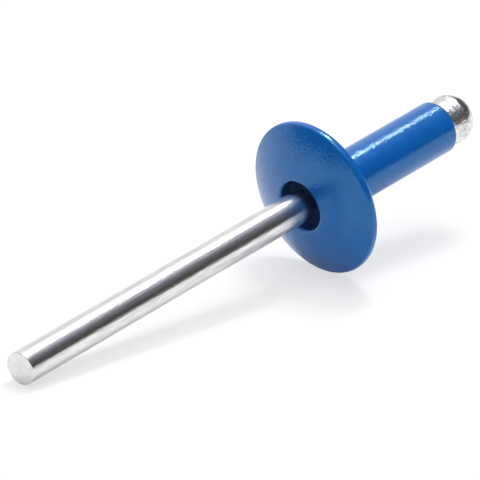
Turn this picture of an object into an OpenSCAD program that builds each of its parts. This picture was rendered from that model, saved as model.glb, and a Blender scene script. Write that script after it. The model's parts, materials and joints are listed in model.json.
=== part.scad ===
// Large-flange pop rivet as it is sold, lying on its side.
// Two pieces share one axis: a painted tubular body, and the headed mandrel threaded through it.
// Along the axis, z = 0 is the flange's underside, +z runs to the mandrel's head
// and -z to the mandrel's tail.

/* [Shank] */
// Outer diameter of the tubular shank
shank_d = 4.8; // [4.4:0.1:6]
// Length of the shank, from the flange's underside to its far end
shank_l = 15; // [8:0.5:30]
// Radius of the rolled edge round the shank's far end
shank_end_r = 0.35; // [0.15:0.05:0.5]
// Radius of the fillet where the shank leaves the flange
neck_fillet_r = 0.25; // [0.1:0.05:0.8]

/* [Flange] */
// Diameter of the flange
flange_d = 14; // [9:0.5:18]
// Height of the flange, from its underside to the lip of its recess
flange_h = 2.3; // [1.6:0.1:3]
// Thickness of the flange's full-round rim
rim_t = 0.7; // [0.4:0.05:1]

/* [Recess] */
// Diameter of the recess that the mandrel leaves by
mouth_d = 4.55; // [4:0.05:6]
// Depth of the recess's straight wall
mouth_h = 1.2; // [0.6:0.1:1.5]
// Radius of the lip round the recess
lip_r = 0.2; // [0.1:0.05:0.4]
// Slope of the funnel from the recess to the bore, measured from the axis
funnel_angle = 50; // [35:5:65]
// Gap between the mandrel's stem and the bore, on each side
stem_gap = 0.06; // [0.03:0.01:0.12]
// Width of the chamfer where the bore comes out at the shank's far end
bore_chamfer = 0.1; // [0.05:0.01:0.15]

/* [Mandrel stem] */
// Diameter of the stem
stem_d = 2.85; // [2.4:0.05:3]
// Length of stem that stands out of the recess, for the setting tool to grip
tail_l = 32; // [24:0.5:45]
// Lean of the sheared face at the end of the tail
tail_shear = 8; // [0:1:15]
// Direction that the sheared face leans in, turned from straight up
tail_turn = 55; // [0:5:180]
// Distance from the head's underside to the middle of the break neck
neck_drop = 2.6; // [2:0.1:5]
// Diameter of the break neck, where the stem snaps when the rivet is set
neck_d = 1.9; // [1.5:0.05:2.1]
// Slope of the break neck's flanks, measured from the axis
neck_angle = 40; // [30:5:60]
// Length of the narrowest part of the break neck
neck_land = 0.25; // [0.1:0.05:0.5]

/* [Grip ribs] */
// Number of rolled ribs that hold the mandrel in the bore
rib_count = 12; // [8:1:16]
// Length of the ribs
rib_l = 2.2; // [1.5:0.1:4]
// Depth below the lip at which the ribs start
rib_start = 1.1; // [0.9:0.1:1.4]
// Depth of the grooves between the ribs, below the stem's surface
rib_groove = 0.1; // [0.06:0.01:0.15]
// Gap between the ribs' crests and the bore
rib_gap = 0.01; // [0.01:0.005:0.03]

/* [Mandrel head] */
// Step from the shank's surface in to the head's, so that the head follows through the same hole
head_step = 0.2; // [0.1:0.05:0.4]
// Length of the head's straight band
band_l = 1.6; // [1:0.1:2.5]
// Height of the head's rounded cap above the band
cap_h = 1.65; // [1.4:0.05:1.9]
// Radius of the cap's shoulder
shoulder_r = 1.25; // [1.1:0.05:1.3]
// Angle of the crease left by the heading punch where the cap meets the band
crease_angle = 14; // [5:1:20]
// Radius of the edge round the head's underside
head_edge_r = 0.2; // [0.1:0.05:0.3]

/* [Hidden] */
$fn = 96;
EPS = 0.01;

// How far a cutting shape reaches past what it cuts
OVER = 1;

paint_blue = [0.13, 0.38, 0.67];
steel_grey = [0.78, 0.79, 0.8];

shank_r = shank_d / 2;
stem_r = stem_d / 2;
bore_r = stem_r + stem_gap;
mouth_r = mouth_d / 2;

// The rim's section is a full round, centred here
rim_r = rim_t / 2;
rim_c = flange_d / 2 - rim_r;

// The dome is a sphere through the recess's lip that runs into the rim's round without an edge.
// Its centre lies dome_c past the underside, which is the larger root of
// |centre to rim's centre| = dome_r - rim_r and |centre to lip| = dome_r.
lip_sq = mouth_r * mouth_r + flange_h * flange_h;
part_a = (lip_sq - rim_c * rim_c) / rim_t;
part_b = (flange_h - rim_r) / rim_r;
half_b = part_a * part_b - flange_h;
dome_c = (sqrt(half_b * half_b - (part_b * part_b - 1) * (part_a * part_a - lip_sq)) - half_b)
    / (part_b * part_b - 1);
dome_r = part_a + part_b * dome_c;

// Where the dome touches the rim's round, and where it touches the lip's
rim_touch = dome_r / (dome_r - rim_r) * [rim_c, -rim_r - dome_c] + [0, dome_c];
lip_c = [mouth_r + lip_r, dome_c - sqrt(pow(dome_r - lip_r, 2) - pow(mouth_r + lip_r, 2))];
lip_touch = dome_r / (dome_r - lip_r) * (lip_c - [0, dome_c]) + [0, dome_c];

// Heights along the axis
lip_z = -flange_h;
funnel_top = lip_z + mouth_h;
funnel_bottom = funnel_top + (mouth_r - bore_r) / tan(funnel_angle);
rib_z = lip_z + rib_start;
tail_z = lip_z - tail_l;
neck_z = shank_l - neck_drop;
neck_r = neck_d / 2;
neck_run = (stem_r - neck_r) / tan(neck_angle);
band_top = shank_l + band_l;

// Mandrel head: a shoulder arc that starts at the crease, and a crown arc that meets it smoothly
head_r = shank_r - head_step;
shoulder_c = [head_r - shoulder_r * cos(crease_angle), band_top - shoulder_r * sin(crease_angle)];
cap_rise = band_top + cap_h - shoulder_c[1];
crown_r = (pow(shoulder_c[0], 2) + pow(cap_rise, 2) - pow(shoulder_r, 2)) / (2 * (cap_rise - shoulder_r));
crown_z = band_top + cap_h - crown_r;
crown_touch = crown_r / (crown_r - shoulder_r) * [shoulder_c[0], shoulder_c[1] - crown_z] + [0, crown_z];

// Lying down, the rivet rests on its rim and on the lowest point of the tail's sheared edge.
// lean is the angle that this leaves between the axis and the floor.
tail_low = [tail_z - stem_r * tan(tail_shear) * cos(tail_turn), stem_r];
rest_run = [-rim_r - tail_low[0], rim_c - tail_low[1]];
lean = atan2(rest_run[1], rest_run[0]) + asin(rim_r / norm(rest_run));
lift = rim_r + rim_r * sin(lean) + rim_c * cos(lean);
tail_reach = stem_r * norm([
    sin(lean) - tan(tail_shear) * cos(tail_turn) * cos(lean),
    tan(tail_shear) * sin(tail_turn) * cos(lean)
]);
back_x = tail_z * cos(lean) - tail_reach;
front_x = crown_z * cos(lean) + crown_r;

// Half section of the flange alone, without its recess
module flange_section() {
    intersection() {
        translate([0, dome_c])
            circle(r = dome_r, $fn = 360);
        polygon([
            [0, 0], [rim_c, 0], [rim_c, -rim_r], rim_touch,
            [rim_touch[0], lip_z - OVER], [0, lip_z - OVER]
        ]);
    }
    translate([rim_c, -rim_r])
        circle(r = rim_r);
}

// Half section of the shank with its rolled end, and the fillet that joins it to the flange
module shank_section() {
    difference() {
        translate([0, -EPS])
            square([shank_r, shank_l + EPS]);
        difference() {
            translate([shank_r - shank_end_r, shank_l - shank_end_r])
                square(2 * shank_end_r);
            translate([shank_r - shank_end_r, shank_l - shank_end_r])
                circle(r = shank_end_r);
        }
    }
    difference() {
        translate([shank_r - EPS, -EPS])
            square(neck_fillet_r + EPS);
        translate([shank_r + neck_fillet_r, neck_fillet_r])
            circle(r = neck_fillet_r);
    }
}

// Half section of the recess, its rounded lip, the funnel and the bore
module passage_section() {
    polygon([
        [0, lip_z - OVER], [mouth_r, lip_z - OVER], [mouth_r, funnel_top], [bore_r, funnel_bottom],
        [bore_r, shank_l - bore_chamfer],
        [bore_r + bore_chamfer + OVER, shank_l + OVER], [0, shank_l + OVER]
    ]);
    difference() {
        polygon([
            [mouth_r - EPS, lip_c[1]], lip_c, lip_touch,
            [lip_touch[0], lip_z - OVER], [mouth_r - EPS, lip_z - OVER]
        ]);
        translate(lip_c)
            circle(r = lip_r);
    }
}

module rivet_body() {
    color(paint_blue)
        lie_down()
            rotate_extrude()
                difference() {
                    union() {
                        flange_section();
                        shank_section();
                    }
                    passage_section();
                }
}

// Half section of the stem, with a gap for the ribs and with the break neck
module stem_section() {
    polygon([
        [0, tail_z - stem_r], [stem_r, tail_z - stem_r], [stem_r, rib_z], [0, rib_z]
    ]);
    polygon([
        [0, rib_z + rib_l], [stem_r, rib_z + rib_l],
        [stem_r, neck_z - neck_land / 2 - neck_run], [neck_r, neck_z - neck_land / 2],
        [neck_r, neck_z + neck_land / 2], [stem_r, neck_z + neck_land / 2 + neck_run],
        [stem_r, shank_l + EPS], [0, shank_l + EPS]
    ]);
}

// Half section of the head, which seats on the shank's end
module head_section() {
    difference() {
        translate([0, shank_l])
            square([head_r, band_l]);
        difference() {
            translate([head_r - head_edge_r, shank_l - head_edge_r])
                square(2 * head_edge_r);
            translate([head_r - head_edge_r, shank_l + head_edge_r])
                circle(r = head_edge_r);
        }
    }
    intersection() {
        translate([0, crown_z])
            circle(r = crown_r);
        polygon([
            [0, band_top - EPS], [shoulder_c[0], band_top - EPS], crown_touch,
            [crown_touch[0], band_top + cap_h + OVER], [0, band_top + cap_h + OVER]
        ]);
    }
    intersection() {
        translate(shoulder_c)
            circle(r = shoulder_r);
        translate([shoulder_c[0], band_top - EPS])
            square(shoulder_r);
    }
}

// Straight V-shaped ribs rolled into the stem, which grip the bore just below the funnel
module grip_ribs() {
    crest_r = bore_r - rib_gap;
    groove_r = stem_r - rib_groove;
    translate([0, 0, rib_z])
        linear_extrude(height = rib_l)
            polygon([for (i = [0 : 2 * rib_count - 1])
                let (r = i % 2 == 0 ? crest_r : groove_r)
                    r * [cos(180 * i / rib_count), sin(180 * i / rib_count)]]);
}

module mandrel() {
    cutter = 4 * stem_d;
    color(steel_grey)
        lie_down()
            difference() {
                union() {
                    rotate_extrude()
                        stem_section();
                    rotate_extrude()
                        head_section();
                    grip_ribs();
                }
                translate([0, 0, tail_z])
                    rotate([0, tail_shear, tail_turn])
                        translate([0, 0, -cutter / 2])
                            cube(cutter, center = true);
            }
}

// From the rivet's own axis to its place on the floor, tail towards -X and head towards +X
module lie_down() {
    translate([-(back_x + front_x) / 2, 0, lift])
        rotate([0, 90 - lean, 0])
            children();
}

rivet_body();
mandrel();
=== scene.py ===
"""Looks of a large-flange pop rivet lying on its side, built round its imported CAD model.

Both visible pieces are turned about the rivet's own axis. Their profiles are in the axis's frame:
z = 0 is the solid flange's underside, +z runs to the mandrel's head and -z to its tail,
+x points down when the rivet lies on the floor, and +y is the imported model's +Y.
Profiles are in millimetres and degrees. Meshes, materials and the studio are in metres.
"""
import json
import math

import bpy
import numpy as np
from mathutils import Matrix, Vector, noise


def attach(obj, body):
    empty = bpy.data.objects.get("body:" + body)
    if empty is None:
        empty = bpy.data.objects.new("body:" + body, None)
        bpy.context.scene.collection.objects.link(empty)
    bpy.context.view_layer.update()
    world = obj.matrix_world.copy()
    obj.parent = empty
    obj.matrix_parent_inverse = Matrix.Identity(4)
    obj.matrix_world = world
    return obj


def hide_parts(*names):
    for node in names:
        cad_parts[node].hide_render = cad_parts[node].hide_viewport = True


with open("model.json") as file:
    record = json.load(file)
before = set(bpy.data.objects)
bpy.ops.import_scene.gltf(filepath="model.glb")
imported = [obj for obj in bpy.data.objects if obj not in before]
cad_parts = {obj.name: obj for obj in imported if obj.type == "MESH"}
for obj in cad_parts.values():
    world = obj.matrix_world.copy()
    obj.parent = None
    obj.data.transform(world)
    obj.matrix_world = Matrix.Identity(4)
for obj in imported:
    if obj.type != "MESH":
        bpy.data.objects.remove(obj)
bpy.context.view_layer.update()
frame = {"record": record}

MM = 0.001
MOUNTS = {mount["name"]: mount for mount in frame["record"]["mounts"]}

# The sizes are the CAD source's, with two groups of exceptions. The rim and the head are nearer to the
# photo's outline than the solids' are. The funnel and the start of the ribs differ too, inside the recess

# Shank
SHANK_R = MOUNTS["shank"]["dims"]["r_mm"]
SHANK_L = 15.0
SHANK_END_R = 0.35          # rolled edge round the far end
NECK_FILLET_R = 0.25        # fillet where the shank leaves the flange

# Flange. The visible rim is thicker, so the visible underside lies UNDERSIDE past the solid's
UNDERSIDE = 0.2
FLANGE_R = 7.0
FLANGE_H = 2.3 + UNDERSIDE  # from the visible underside to the lip
RIM_T = 0.95
RIM_DOME_R = 0.3            # round of the rim on the dome's side
RIM_BACK_R = 0.5            # round of the rim on the shank's side

# Recess, funnel and bore
MOUTH_R = 2.275
MOUTH_H = 1.2               # depth of the recess's straight wall
LIP_R = 0.2
FUNNEL_ANGLE = 35           # measured from the axis
BORE_R = 1.485
BORE_CHAMFER = 0.1

# Stem. The sheared face at its tail leans by TAIL_SHEAR, and the tail's longest side is turned
# by TAIL_TURN from +x towards +y
STEM_R = MOUNTS["mandrel_stem"]["dims"]["r_mm"]
TAIL_L = MOUNTS["mandrel_stem"]["dims"]["length_mm"]
TAIL_SHEAR = 8
TAIL_TURN = 55
TAIL_EDGE_R = 0.05
SHEAR_FADE = 3              # length of stem over which the lean dies out

# Break neck in the stem
BREAK_DROP = 2.6            # from the head's seat to the neck's middle
BREAK_R = 0.95
BREAK_ANGLE = 40            # slope of its flanks, measured from the axis
BREAK_LAND = 0.25           # length of its narrowest part

# Ribs rolled into the stem
RIB_COUNT = 12
RIB_L = 2.2
RIB_START = 1.8             # depth below the lip
RIB_CREST_R = 1.475
RIB_GROOVE_R = 1.325
RIB_STEP = 0.02             # length in which the round stem turns into the ribs

# Head
HEAD_R = 2.25
HEAD_EDGE_R = 0.3           # round of the edge at the seat
BAND_L = 1.65
BAND_TAPER = 0.12           # how much smaller the band's radius is at the seat
CAP_H = 1.85

# Heights along the axis that follow from these sizes
LIP_Z = UNDERSIDE - FLANGE_H
TAIL_Z = LIP_Z - TAIL_L
RIB_Z = LIP_Z + RIB_START
BAND_TOP = SHANK_L + BAND_L
CAP_TOP = BAND_TOP + CAP_H

# Unevenness of the surfaces: depths, and waves to the millimetre
COAT_DEPTH, COAT_WAVES = 0.004, 0.9
DENT_DEPTH, DENT_WAVES = 0.012, 2.2
PIT_DEPTH, PIT_WAVES = 0.006, 5.0
BORE_RIM = 0.05             # width of the smooth edge round the bore
MARK_FADE = 0.2             # height over which the head's marks set in
FOLD_Z = 1.05               # height above the seat of the line left by the heading die
FOLD_DEPTH, FOLD_W = 0.03, 0.05

# Where the finishes meet, and where the darker paint that is painted shade in the recess starts and ends
# Between these limits the recess and the bore get darker paint: painted shade for the shadow inside them
SHADE_PAINT_START = 0.1       # depth below the lip
SHADE_PAINT_END = 0.05        # distance from the shank's far end
WALL_SLACK = 0.01           # more than the unevenness moves the recess's wall
TAIL_FACE_H = 0.3           # more than the sheared face rises along the axis
TAIL_FACE_COSINE = -0.8     # the sheared face's normals have a smaller cosine to +z

# Meshes
SIDES = 288                 # points round each ring
FINE_TAIL = 4               # length of tail with fine rings
SHARP_ANGLE = 30
TINY = 1e-9                 # least length that a normal is divided by
ANGLES = np.arange(SIDES) * 2 * math.pi / SIDES

# Studio. A lobe is an azimuth and an elevation in degrees, and the cosines at which it starts and is full.
# The backdrop is where both of its lobes are full
WHITE = (1, 1, 1, 1)
BACKDROP = (62, 14, 0.3, 0.55), (118, 0, 0.0, 0.2)
FILL = 0.68                 # strength of the world on rays that are neither seen nor mirrored
FILL_WHITE = 0.5            # how far its pattern is mixed with white there

# Bright patches beside the key lamp: azimuth, elevation and level, and the cosines of their lobes
PATCHES = (50, 71, 3.0), (-60, 81, 3.5)
PATCH_EDGE = (0.968, 0.986)

# Colours of the room by the sine of the elevation
ROOM = [
    (0.0, (0.1, 0.088, 0.07)),
    (0.35, (0.075, 0.073, 0.07)),
    (0.72, (0.19, 0.19, 0.23)),
    (0.8, (0.34, 0.34, 0.39)),
    (0.88, (0.62, 0.62, 0.7)),
]

# The floor lies lower by more than the coat's unevenness. Mirrored and camera rays see it in a grey and
# with a glow of their own
FLOOR_SIZE = 3.0
FLOOR_DROP = 0.02 * MM
FLOOR_GREY = 0.8
FLOOR_SEEN = ("Is Glossy Ray", 0.8, 0.22), ("Is Camera Ray", 0.36, 0.62)

# Camera, fitted to the rivet's circles and edges in the photograph. The tilt is from straight down
CAMERA_PLACE = (-0.207876, -0.212817, 0.127524)
CAMERA_TILT, CAMERA_TURN = 67.645, -44.147
SENSOR_W, LENS = 36.0, 286.95
CLIP_START, CLIP_END = 0.01, 20.0


def axis_matrix():
    """The axis's frame in metres, from a mount on the axis and a mount on the flange's underside."""
    along = Vector(MOUNTS["shank"]["axis"]).normalized()
    on_axis = Vector(MOUNTS["shank"]["pos_m"])
    on_underside = Vector(MOUNTS["flange_underside"]["pos_m"])
    side = Vector((0, 1, 0))
    down = side.cross(along)
    matrix = Matrix((down, side, along)).transposed().to_4x4()
    matrix.translation = on_axis - along * (on_axis - on_underside).dot(along)
    return matrix


AXIS = axis_matrix()


# Profiles, as points of radius and height

def line(a, b, step):
    """Points from a to b, at most step apart, without b."""
    n = max(1, math.ceil(math.dist(a, b) / step))
    return [(a[0] + (b[0] - a[0]) * i / n, a[1] + (b[1] - a[1]) * i / n) for i in range(n)]


def on_circle(centre, radius, angle):
    """Point of a circle at an angle. 0 is away from the axis, and 90 is towards the head."""
    a = math.radians(angle)
    return (centre[0] + radius * math.cos(a), centre[1] + radius * math.sin(a))


def arc(centre, radius, start, end, step):
    """Points of a circle from angle start to angle end, at most step degrees apart, without the last."""
    n = max(2, math.ceil(abs(end - start) / step))
    return [on_circle(centre, radius, start + (end - start) * i / n) for i in range(n)]


def angle_at(centre, point):
    """Angle at which a point is seen from a centre."""
    return math.degrees(math.atan2(point[1] - centre[1], point[0] - centre[0]))


def touch(centre, radius, inner, inner_r):
    """Point where a circle touches a smaller one inside it."""
    k = radius / (radius - inner_r)
    return (centre[0] + k * (inner[0] - centre[0]), centre[1] + k * (inner[1] - centre[1]))


def dome():
    """Centre height and radius of the sphere that the dome is part of.

    It goes through the recess's lip, and the rim's round touches it from inside. The difference of these
    two conditions gives its radius as a + b * centre, and either one is then a quadratic in the centre."""
    x, z = FLANGE_R - RIM_DOME_R, RIM_DOME_R - RIM_T
    lip_sq = MOUTH_R ** 2 + FLANGE_H ** 2
    a = (lip_sq + RIM_DOME_R ** 2 - x ** 2 - z ** 2) / (2 * RIM_DOME_R)
    b = (FLANGE_H + z) / RIM_DOME_R
    h = a * b - FLANGE_H
    centre = (math.sqrt(h * h - (b * b - 1) * (a * a - lip_sq)) - h) / (b * b - 1)
    return UNDERSIDE + centre, a + b * centre


def body_profile():
    """Closed section of the painted body, from its far end round the outside and back through the bore."""
    dome_z, dome_r = dome()
    dome_c = (0, dome_z)
    end_c = (SHANK_R - SHANK_END_R, SHANK_L - SHANK_END_R)
    fillet_c = (SHANK_R + NECK_FILLET_R, UNDERSIDE + NECK_FILLET_R)
    back_c = (FLANGE_R - RIM_BACK_R, UNDERSIDE - RIM_BACK_R)
    rim_c = (FLANGE_R - RIM_DOME_R, UNDERSIDE + RIM_DOME_R - RIM_T)
    rim_touch = touch(dome_c, dome_r, rim_c, RIM_DOME_R)
    lip_x = MOUTH_R + LIP_R
    lip_c = (lip_x, dome_z - math.sqrt((dome_r - LIP_R) ** 2 - lip_x ** 2))
    lip_touch = touch(dome_c, dome_r, lip_c, LIP_R)
    funnel_top = (MOUTH_R, LIP_Z + MOUTH_H)
    funnel_l = (MOUTH_R - BORE_R) / math.tan(math.radians(FUNNEL_ANGLE))
    funnel_end = (BORE_R, funnel_top[1] + funnel_l)
    bore_end = (BORE_R, SHANK_L - BORE_CHAMFER)
    chamfer_end = (BORE_R + BORE_CHAMFER, SHANK_L)
    return (
        line(chamfer_end, (end_c[0], SHANK_L), step=0.2)
        + arc(end_c, SHANK_END_R, 90, 0, step=7)
        + line((SHANK_R, end_c[1]), (SHANK_R, fillet_c[1]), step=0.14)
        + arc(fillet_c, NECK_FILLET_R, 180, 270, step=10)
        + line((fillet_c[0], UNDERSIDE), (back_c[0], UNDERSIDE), step=0.2)
        + arc(back_c, RIM_BACK_R, 90, 0, step=5)
        + line((FLANGE_R, back_c[1]), (FLANGE_R, rim_c[1]), step=0.05)
        + arc(rim_c, RIM_DOME_R, 0, angle_at(rim_c, rim_touch), step=5)
        + arc(dome_c, dome_r, angle_at(dome_c, rim_touch), angle_at(dome_c, lip_touch), step=0.5)
        + arc(lip_c, LIP_R, angle_at(lip_c, lip_touch), -180, step=10)
        + line((MOUTH_R, lip_c[1]), funnel_top, step=0.2)
        + line(funnel_top, funnel_end, step=0.2)
        + line(funnel_end, bore_end, step=1.0)
        + line(bore_end, chamfer_end, step=0.2)
    )


def mandrel_profile():
    """Open section of the mandrel from the middle of its tail face to the top of its head."""
    edge_x, edge_z = STEM_R - TAIL_EDGE_R, TAIL_Z + TAIL_EDGE_R
    fine_end = (STEM_R, TAIL_Z + FINE_TAIL)
    rib_end = RIB_Z + RIB_L
    break_z = SHANK_L - BREAK_DROP
    run = (STEM_R - BREAK_R) / math.tan(math.radians(BREAK_ANGLE))
    low, high = break_z - BREAK_LAND / 2, break_z + BREAK_LAND / 2
    seat_c = (HEAD_R - BAND_TAPER - HEAD_EDGE_R, SHANK_L + HEAD_EDGE_R)
    crease = (HEAD_R, BAND_TOP)
    tangent = math.degrees(math.acos(HEAD_EDGE_R / math.dist(seat_c, crease)))
    band_angle = angle_at(seat_c, crease) - tangent
    cap_r = (HEAD_R ** 2 + CAP_H ** 2) / (2 * CAP_H)
    cap_c = (0, CAP_TOP - cap_r)
    return (
        line((0, TAIL_Z), (edge_x, TAIL_Z), step=0.1)
        + arc((edge_x, edge_z), TAIL_EDGE_R, -90, 0, step=22.5)
        + line((STEM_R, edge_z), fine_end, step=0.16)
        + line(fine_end, (STEM_R, RIB_Z), step=0.25)
        + line((STEM_R, RIB_Z), (STEM_R, RIB_Z + RIB_STEP), step=RIB_STEP)
        + line((STEM_R, RIB_Z + RIB_STEP), (STEM_R, rib_end - RIB_STEP), step=0.6)
        + line((STEM_R, rib_end - RIB_STEP), (STEM_R, rib_end), step=RIB_STEP)
        + line((STEM_R, rib_end), (STEM_R, low - run), step=1.0)
        + line((STEM_R, low - run), (BREAK_R, low), step=0.3)
        + line((BREAK_R, low), (BREAK_R, high), step=0.2)
        + line((BREAK_R, high), (STEM_R, high + run), step=0.3)
        + line((STEM_R, high + run), (STEM_R, SHANK_L), step=0.5)
        + line((STEM_R, SHANK_L), (seat_c[0], SHANK_L), step=0.15)
        + arc(seat_c, HEAD_EDGE_R, -90, band_angle, step=8)
        + line(on_circle(seat_c, HEAD_EDGE_R, band_angle), crease, step=0.025)
        + arc(cap_c, cap_r, angle_at(cap_c, crease), 90, step=1.2)
        + [(0, CAP_TOP)]
    )


# Meshes

def add_object(name, data):
    made = bpy.data.objects.new(name, data)
    bpy.context.scene.collection.objects.link(made)
    return made


def turned(name, profile, closed, shape):
    """Piece turned from a profile, once shape(points) has moved its rings of points in place.

    A closed profile makes a tube. An open one starts and ends on the axis, where a fan closes each end."""
    rings = np.array(profile)
    points = np.empty((len(rings), SIDES, 3))
    points[:, :, 0] = rings[:, :1] * np.cos(ANGLES)
    points[:, :, 1] = rings[:, :1] * np.sin(ANGLES)
    points[:, :, 2] = rings[:, 1:]
    shape(points)
    grid = points if closed else points[1:-1]
    count = len(grid)
    vertices = [tuple(p) for p in grid.reshape(-1, 3)]
    faces = []
    for i in range(count if closed else count - 1):
        a, b = i * SIDES, (i + 1) % count * SIDES
        for j in range(SIDES):
            k = (j + 1) % SIDES
            faces.append((a + j, a + k, b + k, b + j))
    if not closed:
        tail, top = len(vertices), len(vertices) + 1
        vertices += [tuple(points[0].mean(axis=0)), tuple(points[-1].mean(axis=0))]
        last = (count - 1) * SIDES
        for j in range(SIDES):
            k = (j + 1) % SIDES
            faces.append((tail, k, j))
            faces.append((last + j, last + k, top))
    mesh = bpy.data.meshes.new(name)
    mesh.from_pydata([Vector(v) * MM for v in vertices], [], faces)
    mesh.transform(AXIS)
    mesh.validate()
    mesh.polygons.foreach_set("use_smooth", [True] * len(mesh.polygons))
    mesh.set_sharp_from_angle(angle=math.radians(SHARP_ANGLE))
    return add_object(name, mesh)


def push_out(points, amount):
    """Moves rings of points along their surface's normals by amount. Points on the axis stay."""
    along = np.gradient(points, axis=0)
    around = np.roll(points, -1, axis=1) - np.roll(points, 1, axis=1)
    normal = np.cross(around, along)
    normal /= np.maximum(np.linalg.norm(normal, axis=2, keepdims=True), TINY)
    points += normal * amount[:, :, None]


def waves(points, scale, seed):
    """Smooth noise from -1 to 1 with features about 1 / scale millimetres wide."""
    flat = points.reshape(-1, 3) * scale + seed
    return np.array([noise.noise(Vector(p)) for p in flat]).reshape(points.shape[:2])


def shape_body(points):
    """Slow waviness of the paint coat on what can be seen."""
    depth = COAT_DEPTH * waves(points, COAT_WAVES, seed=3.1)
    in_bore = np.hypot(points[:, :, 0], points[:, :, 1]) < BORE_R + BORE_CHAMFER + BORE_RIM
    push_out(points, np.where(in_bore, 0, depth))


def lean_tail(points):
    """Leans the tail's face, as the shear that cut the wire left it."""
    z = points[:, :, 2]
    radius = np.hypot(points[:, :, 0], points[:, :, 1])
    slope = math.tan(math.radians(TAIL_SHEAR))
    fade = np.clip(1 - (z - TAIL_Z) / SHEAR_FADE, 0, 1)
    z -= fade * radius * slope * np.cos(ANGLES - math.radians(TAIL_TURN))


def roll_ribs(points):
    """Turns the round rings between the ribs' ends into straight-sided ribs."""
    z = points[:, 0, 2]
    ribbed = (z > RIB_Z + RIB_STEP / 2) & (z < RIB_Z + RIB_L - RIB_STEP / 2)
    phase = np.abs((ANGLES * RIB_COUNT / math.pi) % 2 - 1)
    radius = RIB_GROOVE_R + (RIB_CREST_R - RIB_GROOVE_R) * phase
    points[ribbed, :, 0] = radius * np.cos(ANGLES)
    points[ribbed, :, 1] = radius * np.sin(ANGLES)


def mark_head(points):
    """Sinks the heading punch's dents and pits and the die's fold line into the head."""
    height = points[:, :, 2] - SHANK_L
    here = np.clip((height - HEAD_EDGE_R) / MARK_FADE, 0, 1)
    dents = DENT_DEPTH * waves(points, DENT_WAVES, seed=7.7)
    pits = PIT_DEPTH * waves(points, PIT_WAVES, seed=1.3)
    fold = FOLD_DEPTH * np.exp(-((height - FOLD_Z) / FOLD_W) ** 2)
    push_out(points, here * (dents + pits - DENT_DEPTH - fold))


def shape_mandrel(points):
    lean_tail(points)
    roll_ribs(points)
    mark_head(points)


# Materials

def set_inputs(tree, node, inputs):
    """Sets a node's inputs, by name or number, to plain values or to the outputs of other nodes."""
    for key, value in inputs.items():
        if isinstance(value, bpy.types.NodeSocket):
            tree.links.new(value, node.inputs[key])
        else:
            node.inputs[key].default_value = value


def add(tree, kind, inputs=None, **settings):
    """New node with its settings and its inputs."""
    node = tree.nodes.new(kind)
    for key, value in settings.items():
        setattr(node, key, value)
    set_inputs(tree, node, inputs or {})
    return node


def grain(tree, scale, detail, fine_share):
    """Noise in the axis's frame, with scale features to the metre across, across and along the axis.

    detail is its number of finer layers, each fine_share times as strong as the one before."""
    place = add(tree, "ShaderNodeTexCoord").outputs["Object"]
    inputs = {"Vector": place, "Location": AXIS.translation, "Rotation": AXIS.to_euler()}
    place = add(tree, "ShaderNodeMapping", inputs, vector_type="TEXTURE").outputs["Vector"]
    place = add(tree, "ShaderNodeMapping", {"Vector": place, "Scale": scale}).outputs["Vector"]
    inputs = {"Vector": place, "Scale": 1.0, "Detail": detail, "Roughness": fine_share}
    return add(tree, "ShaderNodeTexNoise", inputs).outputs["Fac"]


def ramp(tree, factor, stops):
    """Colour ramp over a factor. Each stop is a position and a colour or a grey."""
    node = add(tree, "ShaderNodeValToRGB", {"Fac": factor})
    elements = node.color_ramp.elements
    while len(elements) < len(stops):
        elements.new(1.0)
    for element, (position, colour) in zip(elements, stops):
        element.position = position
        element.color = (*colour, 1) if isinstance(colour, tuple) else (colour, colour, colour, 1)
    return node.outputs["Color"]


def bump(tree, height, depth):
    """Normal of a relief of this depth in metres."""
    inputs = {"Height": height, "Distance": depth, "Strength": 1.0}
    return add(tree, "ShaderNodeBump", inputs).outputs["Normal"]


def material(name):
    """New material and its node tree."""
    made = bpy.data.materials.new(name)
    made.use_nodes = True
    return made, made.node_tree


def grained(name, scale, detail, fine_share, colours, roughness, depth, metallic):
    """Material whose colour, roughness and bump all follow one grain."""
    made, tree = material(name)
    marks = grain(tree, scale, detail, fine_share)
    set_inputs(tree, tree.nodes["Principled BSDF"], {
        "Base Color": ramp(tree, marks, colours),
        "Roughness": ramp(tree, marks, roughness),
        "Normal": bump(tree, marks, depth),
        "Metallic": metallic,
    })
    return made


def steel(name, scale, colours, roughness, depth):
    """Bare metal whose grain has many fine layers."""
    detail, fine_share = 5, 0.6
    return grained(name, scale, detail, fine_share, colours, roughness, depth, metallic=1.0)


def blue_paint():
    """Glossy coat whose colour varies slowly, with an orange peel of its own."""
    made, tree = material("blue_paint")
    slow = grain(tree, (700, 700, 700), detail=3, fine_share=0.5)
    peel = grain(tree, (4400, 4400, 4400), detail=2, fine_share=0.5)
    set_inputs(tree, tree.nodes["Principled BSDF"], {
        "Base Color": ramp(tree, slow, [(0.3, (0.0005, 0.106, 0.425)), (0.7, (0.001, 0.124, 0.48))]),
        "Roughness": ramp(tree, peel, [(0.3, 0.12), (0.7, 0.18)]),
        "Normal": bump(tree, peel, 0.026 * MM),
        "IOR": 1.63,
        "Specular Tint": (0.52, 0.96, 1.0, 1),
    })
    return made


def recess_paint():
    """Dull, darker paint inside the recess and the bore: painted shade, standing in for the shadow deep in
    the recess.
    """
    return grained(
        "recess_paint", scale=(2500, 2500, 2500), detail=3, fine_share=0.5,
        colours=[(0.3, (0.01, 0.045, 0.16)), (0.7, (0.014, 0.066, 0.22))],
        roughness=[(0.3, 0.5), (0.7, 0.6)], depth=0.01 * MM, metallic=0.0)


def drawn_steel():
    """Bright wire with fine lines along it."""
    return steel(
        "drawn_steel", scale=(8000, 8000, 550),
        colours=[(0.4, (0.62, 0.615, 0.61)), (0.6, (0.78, 0.775, 0.765))],
        roughness=[(0.4, 0.24), (0.6, 0.15)], depth=0.014 * MM)


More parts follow.
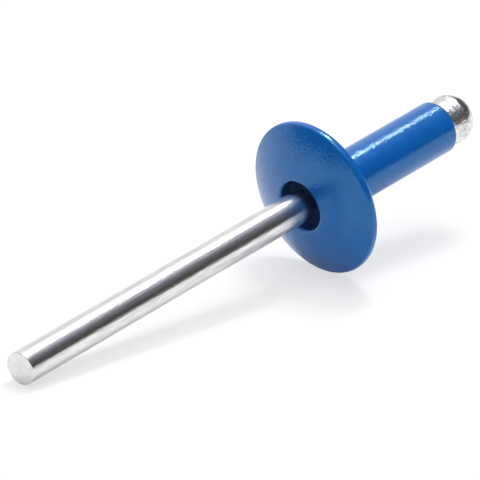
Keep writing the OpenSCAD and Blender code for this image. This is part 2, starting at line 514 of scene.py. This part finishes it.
def headed_steel():
    """Mottled and pitted, as the heading punch leaves it."""
    return steel(
        "headed_steel", scale=(3400, 3400, 2600),
        colours=[(0.35, (0.48, 0.465, 0.45)), (0.65, (0.86, 0.85, 0.835))],
        roughness=[(0.3, 0.35), (0.7, 0.14)], depth=0.04 * MM)


def sheared_steel():
    """Dull, with the shear's fine lines across it."""
    return steel(
        "sheared_steel", scale=(1500, 9000, 1500),
        colours=[(0.4, (0.71, 0.71, 0.705)), (0.6, (0.81, 0.81, 0.805))],
        roughness=[(0.3, 0.5), (0.7, 0.4)], depth=0.006 * MM)


def body_slot(place, _cosine):
    """1, the darker paint that is painted shade, in the recess and the bore, and 0, the blue paint,
    elsewhere.
    """
    inside = place.xy.length < MOUTH_R + WALL_SLACK
    return int(inside and LIP_Z + SHADE_PAINT_START < place.z < SHANK_L - SHADE_PAINT_END)


def mandrel_slot(place, cosine):
    """1, headed steel, on the head, 2, sheared steel, on the tail's face, and 0, drawn steel, elsewhere."""
    if place.z > SHANK_L:
        return 1
    return 2 if place.z < TAIL_Z + TAIL_FACE_H and cosine < TAIL_FACE_COSINE else 0


def dress(piece, materials, slot_of):
    """Gives a piece its materials, and each face the slot that slot_of(place, cosine) returns.

    place is the face's middle in the axis's frame, and cosine that of the angle from its normal to +z."""
    for made in materials:
        piece.data.materials.append(made)
    to_axis = AXIS.inverted()
    along = AXIS.col[2].to_3d()
    for face in piece.data.polygons:
        face.material_index = slot_of((to_axis @ face.center) / MM, face.normal.dot(along))


# Pieces

body = turned("painted_body", body_profile(), True, shape_body)
# The second material darkens the recess and the bore: painted shade
dress(body, (blue_paint(), recess_paint()), body_slot)
mandrel = turned("steel_mandrel", mandrel_profile(), False, shape_mandrel)
dress(mandrel, (drawn_steel(), headed_steel(), sheared_steel()), mandrel_slot)

for piece, node, slot in ((body, "rivet_body", "blue_paint"), (mandrel, "mandrel", "bright_steel")):
    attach(piece, "root")
    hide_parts(node)


# Studio

def direction(azimuth, elevation):
    """Unit vector from an azimuth, measured from +X towards +Y, and an elevation."""
    a, e = math.radians(azimuth), math.radians(elevation)
    return Vector((math.cos(e) * math.cos(a), math.cos(e) * math.sin(a), math.sin(e)))


def calculate(tree, operation, a, b):
    """Result of a maths operation on outputs or numbers."""
    return add(tree, "ShaderNodeMath", {0: a, 1: b}, operation=operation).outputs[0]


def lobe(tree, ray, azimuth, elevation, start, full):
    """Rises from 0 to 1 as the cosine of the angle between a ray and a direction goes from start to full."""
    inputs = {0: ray, 1: direction(azimuth, elevation)}
    cosine = add(tree, "ShaderNodeVectorMath", inputs, operation="DOT_PRODUCT").outputs["Value"]
    return ramp(tree, cosine, [(start, 0.0), (full, 1.0)])


def mix_colours(tree, factor, a, b, blend_type="MIX"):
    """Colour a where factor is 0, and where it is 1 colour b or its blend with a."""
    inputs = {"Factor": factor, "A": a, "B": b}
    return add(tree, "ShaderNodeMix", inputs, data_type="RGBA", blend_type=blend_type).outputs["Result"]


def mix_shaders(tree, factor, a, b):
    """Shader a where factor is 0, and b where it is 1."""
    return add(tree, "ShaderNodeMixShader", {0: factor, 1: a, 2: b}).outputs[0]


def background(tree, colour, strength):
    return add(tree, "ShaderNodeBackground", {"Color": colour, "Strength": strength}).outputs[0]


def studio_world():
    """White behind the object, and a dim room to the sides that gives the metal its dark bands.

    Camera rays see plain white. Mirrored and refracted rays see the backdrop, the room and the bright
    patches. All other rays get a paler backdrop and room without the patches."""
    world = bpy.data.worlds.new("studio")
    bpy.context.scene.world = world
    world.use_nodes = True
    tree = world.node_tree
    tree.nodes.clear()
    ray = add(tree, "ShaderNodeTexCoord").outputs["Generated"]
    height = add(tree, "ShaderNodeSeparateXYZ", {0: ray}).outputs["Z"]
    backdrop = calculate(tree, "MULTIPLY", *[lobe(tree, ray, *limits) for limits in BACKDROP])
    patches = calculate(tree, "ADD", *[
        calculate(tree, "MULTIPLY", lobe(tree, ray, azimuth, elevation, *PATCH_EDGE), level)
        for azimuth, elevation, level in PATCHES])
    pattern = mix_colours(tree, backdrop, ramp(tree, height, ROOM), WHITE)
    mirrored = background(tree, mix_colours(tree, 1.0, pattern, patches, "ADD"), 1.0)
    fill = background(tree, mix_colours(tree, FILL_WHITE, pattern, WHITE), FILL)
    white = background(tree, WHITE, 1.0)
    path = add(tree, "ShaderNodeLightPath").outputs
    is_mirrored = calculate(tree, "MAXIMUM", path["Is Glossy Ray"], path["Is Transmission Ray"])
    behind = mix_shaders(tree, is_mirrored, fill, mirrored)
    add(tree, "ShaderNodeOutputWorld", {"Surface": mix_shaders(tree, path["Is Camera Ray"], behind, white)})


def paper(tree, grey):
    return add(tree, "ShaderNodeBsdfDiffuse", {"Color": (grey, grey, grey, 1)}).outputs[0]


def floor_material():
    """Pale paper that also glows a little where it is seen.

    That way it meets the white background and still keeps the rivet's shadow."""
    made, tree = material("pale_floor")
    tree.nodes.clear()
    path = add(tree, "ShaderNodeLightPath").outputs
    look = paper(tree, FLOOR_GREY)
    for ray, grey, level in FLOOR_SEEN:
        glow = add(tree, "ShaderNodeEmission", {"Color": WHITE, "Strength": level}).outputs[0]
        both = add(tree, "ShaderNodeAddShader", {0: paper(tree, grey), 1: glow}).outputs[0]
        look = mix_shaders(tree, path[ray], look, both)
    add(tree, "ShaderNodeOutputMaterial", {"Surface": look})
    return made


def add_floor():
    half = FLOOR_SIZE / 2
    corners = [(-half, -half, 0), (half, -half, 0), (half, half, 0), (-half, half, 0)]
    mesh = bpy.data.meshes.new("floor")
    mesh.from_pydata(corners, [], [(0, 1, 2, 3)])
    mesh.materials.append(floor_material())
    floor = add_object("floor", mesh)
    floor.location.z = -FLOOR_DROP


def add_softbox(name, azimuth, elevation, distance, width, height, level, mirrored=True):
    """Area light of a given radiance that looks at the object."""
    away = direction(azimuth, elevation)
    data = bpy.data.lights.new(name, "AREA")
    data.shape = "RECTANGLE"
    data.size, data.size_y = width, height
    data.energy = level * math.pi * width * height
    lamp = add_object(name, data)
    lamp.location = away * distance
    lamp.rotation_mode = "QUATERNION"
    lamp.rotation_quaternion = away.to_track_quat("Z", "Y")
    lamp.visible_camera = False
    lamp.visible_glossy = mirrored


def add_camera():
    """The photograph's view."""
    data = bpy.data.cameras.new("camera")
    data.sensor_width, data.lens = SENSOR_W, LENS
    data.clip_start, data.clip_end = CLIP_START, CLIP_END
    camera = add_object("camera", data)
    camera.location = CAMERA_PLACE
    camera.rotation_euler = (math.radians(CAMERA_TILT), 0, math.radians(CAMERA_TURN))
    bpy.context.scene.camera = camera


studio_world()
add_floor()
add_softbox("key", azimuth=25, elevation=66, distance=0.6, width=0.115, height=0.19, level=20.0)
add_softbox("ceiling", azimuth=-30, elevation=84, distance=1.0, width=1.0, height=1.0, level=1.4,
            mirrored=False)
add_camera()
bpy.context.scene.view_settings.view_transform = "Standard"
